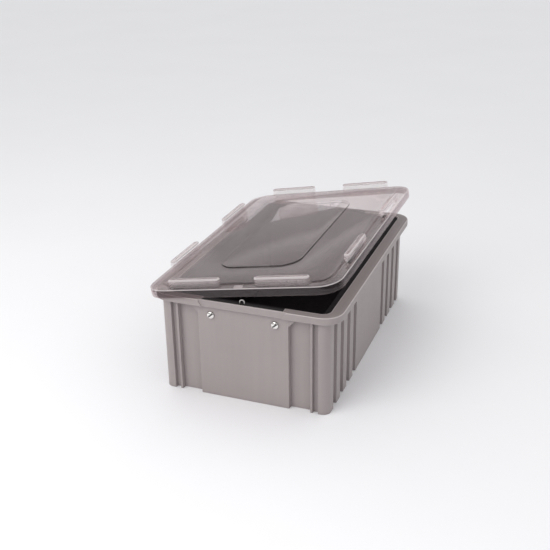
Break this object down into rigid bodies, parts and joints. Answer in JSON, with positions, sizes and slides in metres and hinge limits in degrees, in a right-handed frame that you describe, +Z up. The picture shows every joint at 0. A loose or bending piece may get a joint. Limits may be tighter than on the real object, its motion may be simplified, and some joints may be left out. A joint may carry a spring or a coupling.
{
  "type": "attached lid tote",
  "caption": "Rectangular storage tote with ribbed walls, a rolled rim, a black liner and a hinged clear lid with stacking lugs.",
  "frame": {"origin": "bottom centre of the tote body, on the surface it stands on", "axes": "+Z up; +Y along the long side, front short wall at -Y; the lid is hinged along the -X side"},
  "size_m": [0.2846, 0.4276, 0.2137],
  "materials": {
    "grey_plastic": "satin moulded grey",
    "black_plastic": "matt black",
    "clear_plastic": "clear with a slight grey haze",
    "black_steel": "black coated steel",
    "bright_steel": "bright nickel plated",
    "zinc_steel": "zinc plated"
  },
  "bodies": {
    "tote": {"tote_body": "grey_plastic", "liner": "black_plastic", "seal_bracket_front": "black_steel", "seal_eye_front": "bright_steel", "screw_front_left": "bright_steel", "washer_front_left": "zinc_steel", "nut_front_left": "zinc_steel", "screw_front_right": "bright_steel", "washer_front_right": "zinc_steel", "nut_front_right": "zinc_steel", "seal_bracket_back": "black_steel", "seal_eye_back": "bright_steel", "screw_back_left": "bright_steel", "washer_back_left": "zinc_steel", "nut_back_left": "zinc_steel", "screw_back_right": "bright_steel", "washer_back_right": "zinc_steel", "nut_back_right": "zinc_steel", "hinge_rod": "zinc_steel", "hinge_cap_front": "black_plastic", "hinge_cap_back": "black_plastic"},
    "lid": {"lid": "clear_plastic"}
  },
  "joints": [
    {"name": "lid_hinge", "type": "hinge", "parent": "tote", "child": "lid", "pos_m": [-0.1395, 0, 0.137], "axis": [0, -1, 0], "range_deg": [-10, 170]}
  ]
}
